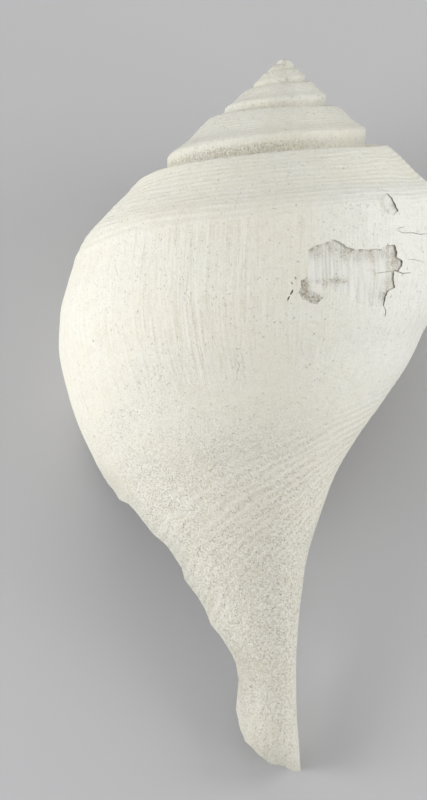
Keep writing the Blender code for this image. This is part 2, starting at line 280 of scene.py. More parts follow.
LOW_CORD_EVENNESS = (0.85, 0.5)
LOW_CORD_FADE = 0.3  # the cords are weaker by this share on the left
LOW_CORD_FADE_TURNS = (0.4, 0.9)
OLD_TURNS = (-0.8, 0.3)  # before these angles a whorl is old
# The old whorls' bulging keel and hollow wall: row, reach in rows, and height
KEEL_BULGE = (6.6, 0.8, 0.2)
WALL_HOLLOW = (8.2, 0.55, 0.4)
GROWTH_WAVE_HEIGHT = 0.05
GROWTH_WAVE_STRETCH = (26, 0.05)
LUMP_SIZE = 9.0
LUMP_HEIGHT = 0.12
SMALL_LUMP_SIZE = 2.4
SMALL_LUMP_HEIGHT = 0.035


def smooth_rows(table, rows):
    """Values of the table at fractional rows, on a cubic through its rows that never overshoots them."""
    table = np.asarray(table, float)
    rows = np.asarray(rows, float)
    step = np.diff(table, axis=0)
    slope = np.zeros_like(table)
    rising = step[:-1] * step[1:] > 0
    slope[1:-1] = np.where(rising, 2 * step[:-1] * step[1:] / np.where(rising, step[:-1] + step[1:], 1), 0)
    slope[0] = step[0]
    slope[-1] = step[-1]
    low = np.clip(np.floor(rows).astype(int), 0, len(table) - 2)
    t = rows - low
    if table.ndim > 1:
        t = t[:, None]
    return (
        table[low] * (1 + 2 * t) * (1 - t) ** 2
        + slope[low] * t * (1 - t) ** 2
        + table[low + 1] * t**2 * (3 - 2 * t)
        - slope[low + 1] * t**2 * (1 - t)
    )


def section(turn, rows):
    """Radius and depth of the shell's outside at these angles and rows, which are arrays of one shape."""
    rows = np.asarray(rows, float)
    turn = np.broadcast_to(np.asarray(turn, float), rows.shape)
    right = smooth_rows(PROFILE[:, 0:2], rows.ravel())
    left = smooth_rows(PROFILE[:, 2:4], rows.ravel())
    held = np.maximum(turn.ravel(), smooth_rows(LEAST_TURN, rows.ravel()))
    depth_share = smooth_rows(DEPTH_GROWTH, rows.ravel())
    growth = math.log(GROWTH) * np.stack([np.ones(rows.size), depth_share], axis=1)
    shift = np.log(left / right) - growth
    later = np.maximum(held, 0)
    shift_share = later**2 * (1 + SHIFT_SOFTNESS) / (later + SHIFT_SOFTNESS)
    both = right * np.exp(growth * held[:, None] + shift * shift_share[:, None])
    radius = both[:, 0].reshape(rows.shape)
    depth = both[:, 1].reshape(rows.shape)
    for mid_turn, mid_row, more_radius, more_depth, turn_reach, row_reach in WHORL_CHANGES:
        near = np.exp(-(((turn - mid_turn) / turn_reach) ** 2) - ((rows - mid_row) / row_reach) ** 2)
        radius = radius + more_radius * near
        depth = depth + more_depth * near
    return radius, depth


def point(turn, radius, depth):
    angle = np.asarray(turn) * math.pi
    return np.stack([radius * np.cos(angle), -depth, radius * np.sin(angle)], axis=-1)


def smooth_step(low, high, value):
    t = np.clip((value - low) / (high - low), 0, 1)
    return t * t * (3 - 2 * t)


def bell(value, middle, reach):
    """1 at the middle, less and less to either side."""
    return np.exp(-(((value - middle) / reach) ** 2))


def noise_at(places, size, seed=0):
    """Smooth noise between -1 and 1 at these places, with lumps of this size."""
    shift = Vector((seed * 17.3, seed * 5.9, seed * 31.1))
    flat = places.reshape(-1, places.shape[-1]) / size
    values = [noise.noise(Vector(p) + shift) for p in flat]
    return np.array(values).reshape(places.shape[:-1])


def distance_to_segment(x, y, ax, ay, bx, by):
    length = (bx - ax) ** 2 + (by - ay) ** 2
    t = np.clip(((x - ax) * (bx - ax) + (y - ay) * (by - ay)) / length, 0, 1)
    return np.hypot(x - ax - t * (bx - ax), y - ay - t * (by - ay))


def distance_to_line(spots, line):
    x = spots[..., 0]
    y = spots[..., 1]
    pairs = zip(line, line[1:])
    return np.min([distance_to_segment(x, y, *a, *b) for a, b in pairs], axis=0)


def nearness(away):
    """How much smaller than at the axis a thing is that looks the same, this far towards the camera."""
    return 1 - away * MM / CAMERA_DISTANCE


def seen_from_back(places):
    """Distances right of the axis and below the apex, as the photograph shows them."""
    down = -places[..., 1] * math.cos(BACK_VIEW_TIP) - places[..., 2] * math.sin(BACK_VIEW_TIP)
    away = -places[..., 1] * math.sin(BACK_VIEW_TIP) + places[..., 2] * math.cos(BACK_VIEW_TIP)
    flat = np.stack([places[..., 0], down], axis=-1)
    return PICTURE_MIDDLE + (flat - PICTURE_MIDDLE) / nearness(away)[..., None]


def run_of_rows():
    """Distance along the profile, in millimetres, from the suture to each of many rows, at the back."""
    rows = np.linspace(0, TIP_ROW, RUN_POINTS)
    radius, depth = section(BACK, rows)
    steps = np.hypot(np.diff(radius), np.diff(depth))
    return rows, np.concatenate([[0], np.cumsum(steps)])


RUN_ROWS, RUN = run_of_rows()


def run_at(rows):
    return np.interp(rows, RUN_ROWS, RUN)


def row_places(zones):
    """Rows from zone to zone, each evenly spaced along the profile."""
    rows = [zones[0][0]]
    for low, high, spacing in zones:
        count = max(1, round((run_at(high) - run_at(low)) / spacing))
        along = np.linspace(run_at(low), run_at(high), count + 1)[1:]
        rows += list(np.interp(along, RUN, RUN_ROWS))
        rows[-1] = high
    return np.array(rows)


def ragged_lip(rows):
    """How far the broken edge of the lip wanders, in millimetres, which is not at all at the suture."""
    run = run_at(rows)
    places = np.stack([run, run * 0, run * 0], axis=-1)
    wander = 0
    for size, height, seed in zip(LIP_WANDER_SIZES, LIP_WANDER, (3, 4)):
        wander = wander + noise_at(places, size, seed=seed) * height
    return wander * (0.5 + 0.5 * smooth_step(*LOWER_LIP_ROWS, rows)) * smooth_step(0, 2, rows)


def last_turn_angles(shares, rows):
    """Angles of the last turn's grid. Its columns lean towards the lip as growth lines do."""
    lip = (smooth_rows(PROFILE[:, 4], rows) + np.interp(rows, SPARE_ROWS, SPARE_WALL)) / 180
    radius, _ = section(lip, rows)
    ragged = ragged_lip(rows) / (math.pi * radius)
    turn = LIP_TURN - 2 + 2 * shares[:, None]
    lean = (lip - LIP_TURN)[None, :] * shares[:, None] ** 2
    return turn + lean + ragged[None, :] * smooth_step(*LIP_SHARES, shares[:, None])


def unrolled(turn, rows, stretch):
    """Places on the unrolled shell, for noise with so many lumps a half turn and a millimetre."""
    run = run_at(rows)
    return np.stack([turn * stretch[0], run * stretch[1], run * 0], axis=-1)


def crest_row(turn):
    """Row of the crest at each angle of the last whorl, and nearly CREST_ROW on the older whorls."""
    drift = np.clip(CREST_DRIFT_TURN - turn, 0, MOST_CREST_DRIFT)
    return CREST_ROW + drift * smooth_step(*CREST_DRIFT_END, turn)


def thread_marks(turn, rows, depth):
    """How many threads lie above each place, and how strong they are there."""
    spots = unrolled(turn, rows, THREAD_STRETCH)
    uneven = noise_at(spots, THREAD_NOISE_SIZE, seed=6)
    shoulder = smooth_step(RIM_ROW, RIM_ROW + THREAD_START_ROWS, rows)
    past_crest = rows - crest_row(turn)
    shoulder = shoulder * (1 - smooth_step(-CREST_EDGE, CREST_EDGE, past_crest))
    shoulder = shoulder * (THREAD_EVENNESS[0] + THREAD_EVENNESS[1] * uneven)
    level = depth / LOW_CORD_GROWTH ** (turn - BACK)
    low = smooth_step(*LOW_CORD_START, level) * (1 - smooth_step(*LOW_CORD_END, level))
    low = LOW_CORD_STRENGTH * low * (1 - LOW_CORD_FADE * smooth_step(*LOW_CORD_FADE_TURNS, turn))
    low = low * (LOW_CORD_EVENNESS[0] + LOW_CORD_EVENNESS[1] * uneven)
    on_body = rows > SUTURE_ROW
    count = np.where(on_body, level / LOW_CORD_SPACING, run_at(rows) / THREAD_SPACING)
    count = count + THREAD_WANDER * noise_at(spots, 1.0, seed=5)
    strength = np.where(on_body, low, shoulder)
    return count, strength


def relief(turn, rows, places, threads):
    """Height of the fine relief above the plain form."""
    count, strength = threads
    run = run_at(rows)
    height = THREAD_HEIGHT * (0.5 - 0.5 * np.cos(2 * math.pi * count)) ** THREAD_SHARPNESS * strength
    height += CREST_HEIGHT * bell(run, run_at(crest_row(turn)), CREST_WIDTH)
    old = 1 - smooth_step(*OLD_TURNS, turn)
    row, reach, bulge = KEEL_BULGE
    height += bulge * old * bell(rows, row, reach)
    row, reach, hollow = WALL_HOLLOW
    height -= hollow * old * bell(rows, row, reach)
    height += GROWTH_WAVE_HEIGHT * noise_at(unrolled(turn, rows, GROWTH_WAVE_STRETCH), 1.0, seed=7)
    height += LUMP_HEIGHT * noise_at(places, LUMP_SIZE, seed=1)
    height += SMALL_LUMP_HEIGHT * noise_at(places, SMALL_LUMP_SIZE, seed=2)
    return height


def rounded(places, turn):
    """The places moved towards the middle of their neighbours along the profile, on the older whorls."""
    share = smooth_step(*ROUNDED_TURNS, turn)[:, 1:-1, None]
    for _ in range(KEEL_ROUNDING):
        middle = (places[:, :-2] + places[:, 2:]) / 2
        places[:, 1:-1] += 0.5 * share * (middle - places[:, 1:-1])
    return places


def outward_of(places):
    outward = np.cross(np.gradient(places, axis=1), np.gradient(places, axis=0))
    outward /= np.maximum(np.linalg.norm(outward, axis=2), 1e-9)[:, :, None]
    if np.sum(outward * places * (1, 0, 1)) < 0:
        outward = -outward
    return outward


UV_MAPS = ("spiral", "wear", "marks", "edge")


def corner_data(turn, rows, fresh=0.0, inside=0.0, count=0.0, strength=0.0, rim=0.0):
    """Eight numbers that the corners at these places carry, two for each UV map.

    spiral: half turns, and millimetres along the profile. wear: how freshly broken, and whether inside.
    marks: threads counted from the suture, and their strength, or that of the grime and painted shade on a
    broken surface.
    edge: 1 at the broken edge and less away from it, and a spare 0.
    """
    numbers = (turn, run_at(rows), fresh, inside, count, strength, rim, 0.0)
    return np.stack(np.broadcast_arrays(*numbers), axis=-1)


class MeshParts:
    """Vertices and faces gathered for one mesh, with eight numbers a corner."""

    def __init__(self):
        self.spots = []
        self.count = 0
        self.faces = []
        self.corners = []

    def add_spots(self, spots):
        first = self.count
        flat = np.asarray(spots).reshape(-1, 3)
        self.spots.append(flat)
        self.count += len(flat)
        return np.arange(first, self.count)

    def add_face(self, ids, data):
        self.faces.append([int(k) for k in ids])
        self.corners.append(np.asarray(data))

    def add_grid(self, ids, data):
        """Four-sided faces between neighbours in a grid of vertices."""

        def cells(a):
            around = [a[:-1, :-1], a[:-1, 1:], a[1:, 1:], a[1:, :-1]]
            return np.stack(around, axis=2).reshape(-1, 4, *a.shape[2:])

        self.faces += cells(ids).tolist()
        self.corners.append(cells(data).reshape(-1, 2 * len(UV_MAPS)))

    def add_zipper(self, one, other, one_data, other_data, one_at, other_at):
        """Triangles between two lines of vertices, matched by the places one_at and other_at along them."""
        data = (one_data, other_data)
        i = 0
        j = 0
        while i < len(one) - 1 or j < len(other) - 1:
            next_one = one_at[i + 1] if i < len(one) - 1 else math.inf
            next_other = other_at[j + 1] if j < len(other) - 1 else math.inf
            if next_one <= next_other:
                picks = ((one, i, 0), (one, i + 1, 0), (other, j, 1))
                i += 1
            else:
                picks = ((one, i, 0), (other, j + 1, 1), (other, j, 1))
                j += 1
            ids = [int(line[k]) for line, k, _ in picks]
            if len(set(ids)) == 3:
                self.add_face(ids, [data[side][k] for _, k, side in picks])

    def mesh(self, name):
        mesh = bpy.data.meshes.new(name)
        spots = np.concatenate(self.spots) * MM
        mesh.from_pydata(spots.tolist(), [], self.faces)
        values = np.concatenate(self.corners).astype(np.float32)
        for k, uv_name in enumerate(UV_MAPS):
            layer = mesh.uv_layers.new(name=uv_name)
            layer.data.foreach_set("uv", values[:, 2 * k : 2 * k + 2].ravel())
        bm = bmesh.new()
        bm.from_mesh(mesh)
        bmesh.ops.recalc_face_normals(bm, faces=bm.faces[:])
        bm.to_mesh(mesh)
        bm.free()
        return mesh


def build_outer_form():
    """The whole shell as if it were solid, with its opening and the end of its canal closed over."""
    parts = MeshParts()
    shares = np.linspace(0, 1, COLUMNS + 1)

    # Whorls from the youngest, which is the last turn, to the oldest
    row_lists = [row_places(ROW_ZONES)]
    for spacing in OLD_WHORL_SPACINGS:
        row_lists.append(row_places([(0, RIM_ROW, spacing), (RIM_ROW, SUTURE_ROW, spacing)]))
    grids = []
    for age, rows in enumerate(row_lists):
        if age == 0:
            turn = last_turn_angles(shares, rows)
        else:
            turn = np.repeat((LIP_TURN - 2 + 2 * shares - 2 * age)[:, None], len(rows), axis=1)
        row_grid = np.broadcast_to(rows, turn.shape)
        if age == len(row_lists) - 1:
            start = DOME_START_ROW * (1 - smooth_step(*DOME_START_SHARES, shares))[:, None]
            row_grid = start + row_grid * (1 - start / SUTURE_ROW)
        radius, depth = section(turn, row_grid)
        if age > 0:
            depth = depth * (1 - APEX_WEAR * bell(radius, 0, APEX_WEAR_RADIUS))
        places = point(turn, radius, depth)
        if age > 0:
            places = rounded(places, turn)
        threads = thread_marks(turn, row_grid, depth)
        scale = np.minimum(1, GROWTH ** (turn - BACK))[..., None]
        height = relief(turn, row_grid, places, threads)[..., None] * scale
        rim = bell(distance_to_line(seen_from_back(places), BREAK_OUTLINE), 0, RIM_WIDTH)
        data = corner_data(turn, row_grid, count=threads[0], strength=threads[1], rim=rim)
        grids.append((places + outward_of(places) * height, data))

    # Each whorl's first row is the older whorl's suture, and its first column ends the older whorl
    all_ids = [None] * len(grids)
    for age in range(len(grids) - 1, -1, -1):
        places, data = grids[age]
        rows = row_lists[age]
        ids = np.zeros(places.shape[:2], int)
        oldest = age == len(grids) - 1
        last = COLUMNS + 1 if age == 0 else COLUMNS
        start = 0 if oldest else 1
        ids[:last, start:] = parts.add_spots(places[:last, start:]).reshape(last, -1)
        suture = int(np.argmin(abs(rows - SUTURE_ROW)))
        if not oldest:
            ids[:COLUMNS, 0] = all_ids[age + 1][:COLUMNS, -1]
        if age == 0:
            ids[COLUMNS, 0] = ids[0, suture]
        all_ids[age] = ids
        parts.add_grid(ids[:last], data[:last])
        if not oldest:
            here = slice(0, suture + 1)
            old_ids = all_ids[age + 1][COLUMNS - 1]
            old_data = grids[age + 1][1][COLUMNS - 1]
            parts.add_zipper(old_ids, ids[0, here], old_data, data[0, here], row_lists[age + 1], rows[here])
    close_outer_form(parts, all_ids, grids, row_lists)
    return parts


def close_outer_form(parts, all_ids, grids, row_lists):
    """Closes the apex, the opening and the end of the canal."""
    ids = all_ids[0]
    data = grids[0][1].copy()
    data[..., 2] = 1
    suture = int(np.argmin(abs(row_lists[0] - SUTURE_ROW)))
    lip = ids[COLUMNS]
    inner = ids[0, suture:]
    along_lip = np.linspace(0, 1, len(lip))
    along_inner = np.linspace(0, 1, len(inner))
    parts.add_zipper(lip, inner, data[COLUMNS], data[0, suture:], along_lip, along_inner)
    parts.add_face(ids[:, -1], data[:, -1])

    # The worn apex is a low dome over the start of the oldest whorl
    oldest = all_ids[-1]
    old_data = grids[-1][1]
    ring = np.concatenate([oldest[:COLUMNS, 0], oldest[0, :0:-1], oldest[:1, 0]])
    ring_data = np.concatenate([old_data[:COLUMNS, 0], old_data[0, :0:-1], old_data[:1, 0]])
    spots = np.concatenate(parts.spots)[ring[:-1]]
    for share in DOME_SHARES:
        inner_ids = parts.add_spots(spots * (share, share**DOME_POWER, share))
        inner_ids = np.append(inner_ids, inner_ids[0])
        parts.add_grid(np.stack([ring, inner_ids]), np.stack([ring_data, ring_data]))
        ring = inner_ids
    top = parts.add_spots(np.zeros((1, 3)))[0]
    for k in range(len(ring) - 1):
        parts.add_face((ring[k], ring[k + 1], top), ring_data[[k, k + 1, k]])


def resampled(line, count):
    """The line's points made evenly spaced."""
    steps = np.hypot(*np.diff(line, axis=0).T)
    along = np.concatenate([[0], np.cumsum(steps)])
    wanted = np.linspace(0, along[-1], count)
    return np.stack([np.interp(wanted, along, line[:, k]) for k in (0, 1)], axis=1)


def hollow_loop(turn):
    """The hollow's outline in the half plane at this angle, as radius and depth, once round."""
    rows = np.linspace(RIM_ROW + 1, TIP_ROW, FINE_ROWS)
    outside = np.stack(section(turn, rows), axis=1)
    along = np.gradient(outside, axis=0)
    along /= np.hypot(*along.T)[:, None]
    inward = np.stack([-along[:, 1], along[:, 0]], axis=1)
    wall = np.interp(rows, (BODY_ROW, CANAL_ROW), (WALL * GROWTH ** (turn - LIP_TURN), CANAL_WALL))
    outer = outside + inward * np.maximum(wall, THINNEST_WALL)[:, None]

    rows = np.linspace(SUTURE_ROW + 1, TIP_ROW, FINE_ROWS)
    radius, depth = section(turn - 2, rows)
    inner = np.stack([np.maximum(radius, COLUMELLA_RADIUS) + GLAZE, depth], axis=1)

    # Both sides end where they meet, or past the tip of the canal where the canal is open
    outer = np.vstack([outer, outer[-1] + (0, TIP_OVERRUN)])
    inner = np.vstack([inner, (inner[-1, 0], outer[-1, 1])])
    order = np.argsort(inner[:, 1])
    gap = outer[:, 0] - np.interp(outer[:, 1], inner[order, 1], inner[order, 0])
    narrow = np.flatnonzero((gap < LEAST_GAP) & (np.arange(len(gap)) > SPIRE_ROWS))
    if len(narrow):
        outer = outer[: narrow[0]]
        inner = inner[inner[:, 1] < outer[-1, 1]]
    return np.vstack([resampled(outer, HOLLOW_OUTER_POINTS), resampled(inner, HOLLOW_INNER_POINTS)[::-1]])


def build_hollow():
    """The space inside the tube, which runs out past the lip."""
    parts = MeshParts()
    columns = round(HOLLOW_TURNS * HOLLOW_COLUMNS)
    turns = np.linspace(LIP_TURN + LIP_OVERRUN, LIP_TURN - 2 * HOLLOW_TURNS, columns)
    loops = np.array([hollow_loop(turn) for turn in turns])
    loops = np.concatenate([loops, loops[:, :1]], axis=1)
    turn_grid = np.broadcast_to(turns[:, None], loops.shape[:2])
    places = point(turn_grid, loops[..., 0], loops[..., 1])
    data = corner_data(turn_grid, 0, inside=1)
    data[..., 1] = loops[..., 1]
    around = HOLLOW_OUTER_POINTS + HOLLOW_INNER_POINTS
    ids = np.zeros(places.shape[:2], int)
    ids[:, :around] = parts.add_spots(places[:, :around]).reshape(columns, around)
    ids[:, around] = ids[:, 0]
    parts.add_grid(ids, data)
    outer = slice(0, HOLLOW_OUTER_POINTS)
    inner = slice(around - 1, HOLLOW_OUTER_POINTS - 1, -1)
    shares = [np.linspace(0, 1, count) for count in (HOLLOW_OUTER_POINTS, HOLLOW_INNER_POINTS)]
    for end in (0, -1):
        parts.add_zipper(ids[end, outer], ids[end, inner], data[end, outer], data[end, inner], *shares)
    return parts


def flake_floor(spots, outline, depths, soft_side, soft_width, grime_and_shade):
    """How deep the floor of a flake lies below the surface."""
    depth = np.interp(spots[..., 1], (outline[:, 1].min(), outline[:, 1].max()), depths)
    soft = distance_to_line(spots, soft_side) / soft_width
    across, down = FIBRE_STRETCH
    fibres = np.stack([spots[..., 0] * across, spots[..., 1] * down, spots[..., 1] * 0], axis=-1)
    grain = noise_at(fibres, 1.0, seed=9) + 0.5 * noise_at(fibres * FINE_FIBRES, 1.0, seed=10)
    down, across, rise = FLAKE_LEDGE
    edge = down + LEDGE_WANDER * noise_at(fibres, 1.7, seed=11)
    ledge = (spots[..., 1] > edge) & (spots[..., 0] < across)
    share = np.minimum(1, LEAST_FLOOR + (1 - LEAST_FLOOR) * soft + grime_and_shade_at(spots, grime_and_shade))
    return depth * share - FLAKE_FIBRE_HEIGHT * grain - rise * ledge


def grime_and_shade_at(spots, grime_and_shade):
    """How grimy the floor of a flake is, and how much painted shade lies along its edges."""
    total = np.zeros(spots.shape[:-1])
    for x, down, reach, strength in grime_and_shade:
        near = ((spots[..., 0] - x) ** 2 + (spots[..., 1] - down) ** 2) / reach**2
        total = np.maximum(total, strength * np.exp(-near))
    return total


def build_surface_layer(span, counts, floor_of, grime_and_shade):
    """A layer of the shell's surface over this span of angles and rows, down to a floor."""
    parts = MeshParts()
    turns = np.linspace(*span[0], counts[0])
    rows = np.linspace(*span[1], counts[1])
    grid_turn, grid_row = np.meshgrid(turns, rows, indexing="ij")
    places = point(grid_turn, *section(grid_turn, grid_row))
    outward = outward_of(places)
    seen = seen_from_back(places)
    floor = places - outward * floor_of(seen)[..., None]
    roof = places + outward * CUTTER_RISE
    data = corner_data(grid_turn, grid_row, fresh=1, strength=grime_and_shade_at(seen, grime_and_shade))
    floor_ids = parts.add_spots(floor).reshape(counts)
    roof_ids = parts.add_spots(roof).reshape(counts)
    parts.add_grid(floor_ids, data)
    parts.add_grid(roof_ids, data)
    for side in (np.s_[0, :], np.s_[-1, :], np.s_[:, 0], np.s_[:, -1]):
        parts.add_grid(np.stack([floor_ids[side], roof_ids[side]]), np.stack([data[side], data[side]]))
    return parts


def ragged_outline(outline, wobble):
    """The closed outline with more points, moved a little to and fro."""
    ring = []
    for one, other in zip(outline, np.roll(outline, -1, axis=0)):
        count = max(1, round(np.hypot(*(other - one)) / OUTLINE_STEP))
        ring += [one + (other - one) * k / count for k in range(count)]
    ring = np.array(ring)
    flat = np.pad(ring, ((0, 0), (0, 1)))
    moves = [noise_at(flat, WOBBLE_SIZE, seed=seed) for seed in (12, 13)]
    return ring + wobble * np.stack(moves, axis=-1)


def crack_outline(half_width, line):
    """A narrow outline round the line, which tapers to its ends."""
    line = np.asarray(line, float)
    along = np.gradient(line, axis=0)
    along /= np.hypot(*along.T)[:, None]
    widths = np.full(len(line), half_width)
    widths[[0, -1]] *= CRACK_TAPER
    side = np.stack([-along[:, 1], along[:, 0]], axis=1) * widths[:, None]
    return np.vstack([line + side, (line - side)[::-1]])


def add_prism(parts, ring, ends, grime_and_shade):
    """The closed outline drawn out along the photograph's lines of sight."""
    tip_sin = math.sin(BACK_VIEW_TIP)
    tip_cos = math.cos(BACK_VIEW_TIP)
    data = corner_data(np.full(len(ring), BACK), BODY_ROW, fresh=1, strength=grime_and_shade)
    loops = []
    for away in ends:
        x, down = (PICTURE_MIDDLE + (ring - PICTURE_MIDDLE) * nearness(away)).T
        spots = np.stack([x, -down * tip_cos - away * tip_sin, -down * tip_sin + away * tip_cos], axis=-1)
        ids = parts.add_spots(spots)
        parts.add_face(ids, data)
        loops.append(np.append(ids, ids[0]))
    data = np.vstack([data, data[:1]])
    parts.add_grid(np.stack(loops), np.stack([data, data]))


def laid_down(mesh):
    """The move that lays the shell down where the CAD solid lies."""
    turned = Matrix.Rotation(REST_PITCH, 4, "X") @ Matrix.Rotation(REST_ROLL, 4, "Y")
    spots = np.zeros(3 * len(mesh.vertices))
    mesh.vertices.foreach_get("co", spots)
    laid = spots.reshape(-1, 3) @ np.array(turned.to_3x3()).T
    low = laid.min(axis=0)
    high = laid.max(axis=0)
    cad_low, cad_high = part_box("shell")
    shift = [(cad_low[k] + cad_high[k] - low[k] - high[k]) / 2 for k in (0, 1)]
    return Matrix.Translation((*shift, cad_low[2] - low[2])) @ turned


def add_object(name, data):
    obj = bpy.data.objects.new(name, data)
    bpy.context.scene.collection.objects.link(obj)
    return obj


def add_boolean(obj, operation, other):
    modifier = obj.modifiers.new(other.name, "BOOLEAN")
    modifier.operation = operation
    modifier.solver = "EXACT"
    modifier.object = other


def build_shell():
    """The fine shell: its outer form, less the hollow, the flake, the chip, the cracks and what broke off."""
    outer = add_object("outer_form", build_outer_form().mesh("outer_form"))
    used = [outer]

    def add_cutter(name, parts):
        cutter = add_object(name, parts.mesh(name))
        used.append(cutter)
        return cutter

    def cut_surface(name, span, counts, floor_of, grime_and_shade, rings):
        layer = add_cutter(name, build_surface_layer(span, counts, floor_of, grime_and_shade))
        prisms = MeshParts()
        for ring in rings:
            add_prism(prisms, ring, BACK_ENDS, EDGE_GRIME_AND_SHADE)
        add_boolean(layer, "INTERSECT", add_cutter(name + "_outline", prisms))
        add_boolean(outer, "DIFFERENCE", layer)

    add_boolean(outer, "DIFFERENCE", add_cutter("hollow", build_hollow()))
    gone = MeshParts()
    add_prism(gone, ragged_outline(np.vstack([BREAK_OUTLINE, BEYOND_BREAK]), BREAK_WOBBLE), WHOLE_ENDS, 0)
    add_boolean(outer, "DIFFERENCE", add_cutter("gone", gone))

    for name, outline, span, counts, floor in (
        ("flake", FLAKE_OUTLINE, FLAKE_SPAN, FLAKE_GRID, FLAKE_FLOOR),
        ("chip", CHIP_OUTLINE, CHIP_SPAN, CHIP_GRID, CHIP_FLOOR),
    ):
        floor_of = partial(flake_floor, outline=outline, **floor)
        rings = [ragged_outline(outline, OUTLINE_WOBBLE)]
        cut_surface(name, span, counts, floor_of, floor["grime_and_shade"], rings)

    def crack_floor(seen):
        return np.full(seen.shape[:-1], CRACK_DEPTH)

    cracks = [crack_outline(*crack) for crack in CRACKS]
    cut_surface("cracks", CRACK_SPAN, CRACK_GRID, crack_floor, [], cracks)

    depsgraph = bpy.context.evaluated_depsgraph_get()
    mesh = bpy.data.meshes.new_from_object(outer.evaluated_get(depsgraph))
    mesh.name = "whelk_shell"
    for obj in used:
        bpy.data.objects.remove(obj)
    place = laid_down(mesh)
    mesh.transform(place)
    mesh.shade_smooth()
    mesh.set_sharp_from_angle(angle=SHARP_ANGLE)
    return add_object("whelk_shell", mesh), place


# Least size of the material's spots, beside one that varies from 0 to 1, and the flat share of their width
LEAST_SPOT = 0.35
SPOT_FLOOR = 0.45


class Nodes:
    """Short calls for building a material's nodes."""

    def __init__(self, material):
        material.use_nodes = True
        self.tree = material.node_tree
        self.shader = self.tree.nodes["Principled BSDF"]

    def link(self, value, socket):
        if isinstance(value, bpy.types.NodeSocket):
            self.tree.links.new(value, socket)
        else:
            socket.default_value = value

    def add(self, kind, *inputs, **settings):
        node = self.tree.nodes.new(kind)
        for key, value in settings.items():
            setattr(node, key, value)
        for socket, value in zip(node.inputs, inputs):
            self.link(value, socket)
        return node

    def uv(self, name):
        return self.add("ShaderNodeUVMap", uv_map=name).outputs[0]

    def parted(self, vector):
        return tuple(self.add("ShaderNodeSeparateXYZ", vector).outputs)[:2]

    def math(self, operation, *inputs):
        return self.add("ShaderNodeMath", *inputs, operation=operation).outputs[0]

    def times(self, value, *others):
        for other in others:
            value = self.math("MULTIPLY", value, other)
        return value

    def plus(self, value, *others):
        for other in others:
            value = self.math("ADD", value, other)
        return value

    def less(self, one, other):
        return self.math("SUBTRACT", one, other)

    def most(self, one, other):
        return self.math("MAXIMUM", one, other)

    def scaled(self, vector, scale):
        return self.add("ShaderNodeVectorMath", vector, scale, operation="MULTIPLY").outputs[0]

    def noise(self, vector, scale, detail=2.0, roughness=0.5, output=0):
        node = self.add("ShaderNodeTexNoise")
        self.link(vector, node.inputs["Vector"])
        node.inputs["Scale"].default_value = scale
        node.inputs["Detail"].default_value = detail
        node.inputs["Roughness"].default_value = roughness
        return node.outputs[output]

    def spots(self, vector, scale, size, share):
        """1 in scattered round spots, 0 between them. Size and share are parts of a cell and of the cells."""
        cells = self.add("ShaderNodeTexVoronoi")
        self.link(vector, cells.inputs["Vector"])
        cells.inputs["Scale"].default_value = scale
        picked, wide = self.parted(cells.outputs["Color"])
        chance = self.math("LESS_THAN", picked, share)
        width = self.times(self.plus(wide, LEAST_SPOT), size)
        spot = self.ramp(cells.outputs["Distance"], width, self.times(width, SPOT_FLOOR))
        return self.times(spot, chance)

    def ramp(self, value, low, high, to_low=0.0, to_high=1.0):
        node = self.tree.nodes.new("ShaderNodeMapRange")
        node.interpolation_type = "SMOOTHSTEP"
        for socket, given in zip(node.inputs, (value, low, high, to_low, to_high)):
            self.link(given, socket)
        return node.outputs[0]

    def mix(self, share, one, other):
        node = self.tree.nodes.new("ShaderNodeMix")
        node.data_type = "RGBA"
        self.link(share, node.inputs[0])
        self.link(one, node.inputs[6])
        self.link(other, node.inputs[7])
        return node.outputs[2]


# Colours of the material
CREAM = (0.80, 0.785, 0.68, 1)
PALE = (0.81, 0.80, 0.725, 1)
BLEACHED = (0.845, 0.845, 0.805, 1)
CHALK = (0.88, 0.87, 0.80, 1)
FRESH = (0.785, 0.785, 0.735, 1)
SAND = (0.58, 0.53, 0.42, 1)
STAIN = (0.33, 0.27, 0.18, 1)
GRIME_AND_SHADE = (0.30, 0.25, 0.17, 1)
PIT = (0.27, 0.235, 0.165, 1)
# Where the surface is sandy, and how much of each colour there is
SANDY_DEPTHS = (38, 72)
SANDY_WANDER = 12
TIP_DEPTHS = (82, 94)
TIP_SANDINESS = (1.1, 0.75)
CLEAN_SIDE = 0.7  # share of the sand that is missing on the right of the canal
SANDY_SAND = (0.12, 0.56)
SANDY_CHALK = (0.10, 0.6)
LOW_SAND = 0.15
MOTTLE_SAND = 0.14
GROOVE_SAND = 0.16
# share of chalk colour painted on the thread crests as a highlight
CREST_HIGHLIGHT = 0.25
PALE_LINE_CHALK = 0.8
KEEL_STAIN = 0.2
PIT_SHARE = 0.55
# how much greyer the old whorls are, then with painted shade on their sides
OLD_GREY_AND_SIDE_SHADE = (0.02, 0.15)
LOW_GREY = 0.06
RIM_GREY = 0.17
CLEAREST_GROWTH = 0.66  # growth lines are clearest at this angle, on the left of the back
# Finish
ROUGHNESS = (0.62, 0.9)
SPECULAR = 0.35
# Heights of the material's relief, in millimetres
LINE_HEIGHT = 0.10
BAND_HEIGHT = 0.16
THREAD_GRAIN_HEIGHT = 0.04
CREST_GRAIN_HEIGHT = 0.03
GRAIN_HEIGHTS = (0.05, 0.16)
MOTTLE_HEIGHT = 0.08
FINE_GRAIN_HEIGHT = 0.03
PIT_DEPTH = 0.12


